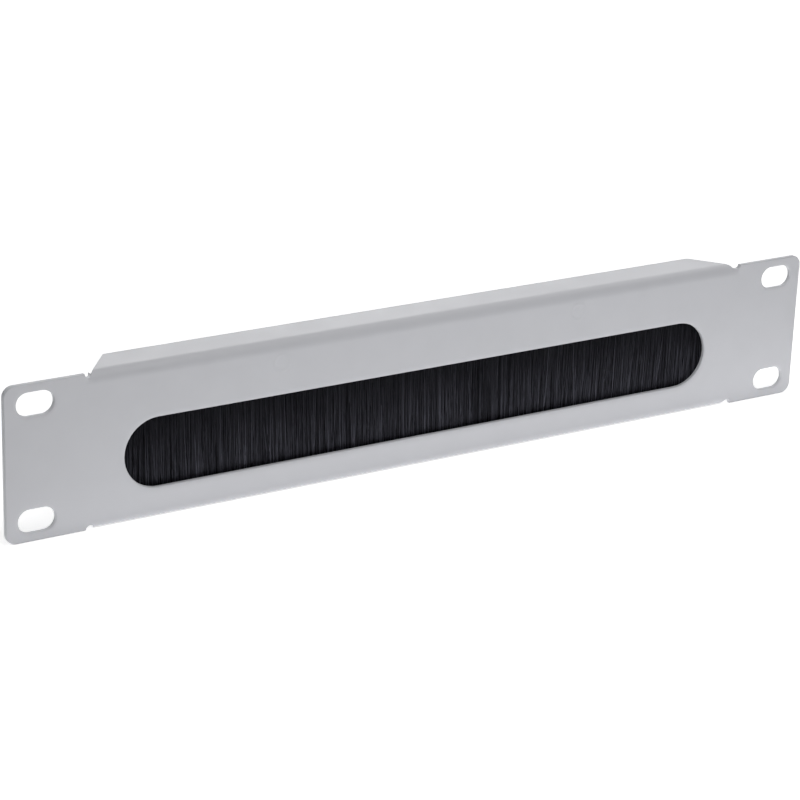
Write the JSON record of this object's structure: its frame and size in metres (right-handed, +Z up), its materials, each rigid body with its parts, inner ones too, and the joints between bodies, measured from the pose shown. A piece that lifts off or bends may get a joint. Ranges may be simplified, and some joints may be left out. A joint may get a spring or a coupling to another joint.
{
  "type": "rack brush strip panel",
  "caption": "Flat ten-inch rack panel with folded long edges, slotted ears and a rounded cable window closed by a hanging black brush strip.",
  "frame": {"origin": "centre of the four mounting slots, on the rear face of the sheet, which seats on the rack rails", "axes": "+X to the right seen from the front, along the panel's length; +Y from the face into the rack; +Z up"},
  "size_m": [0.254, 0.012, 0.043],
  "materials": {
    "powder_coat": "light grey powder coat, satin, very fine texture",
    "mill_aluminium": "plain extruded aluminium with fine lines along its length",
    "galvanised_steel": "galvanised strip, dull",
    "wire_steel": "drawn steel wire",
    "black_nylon": "loose black nylon fibres with a slight gloss along each fibre",
    "zinc_steel": "bright zinc plated"
  },
  "bodies": {
    "root": {"front_panel": "powder_coat", "brush_holder": "mill_aluminium", "brush_channel": "galvanised_steel", "core_wire": "wire_steel", "bristles": "black_nylon", "stud_left": "zinc_steel", "stud_right": "zinc_steel", "washer_left": "zinc_steel", "washer_right": "zinc_steel", "nut_left": "zinc_steel", "nut_right": "zinc_steel"}
  },
  "joints": []
}
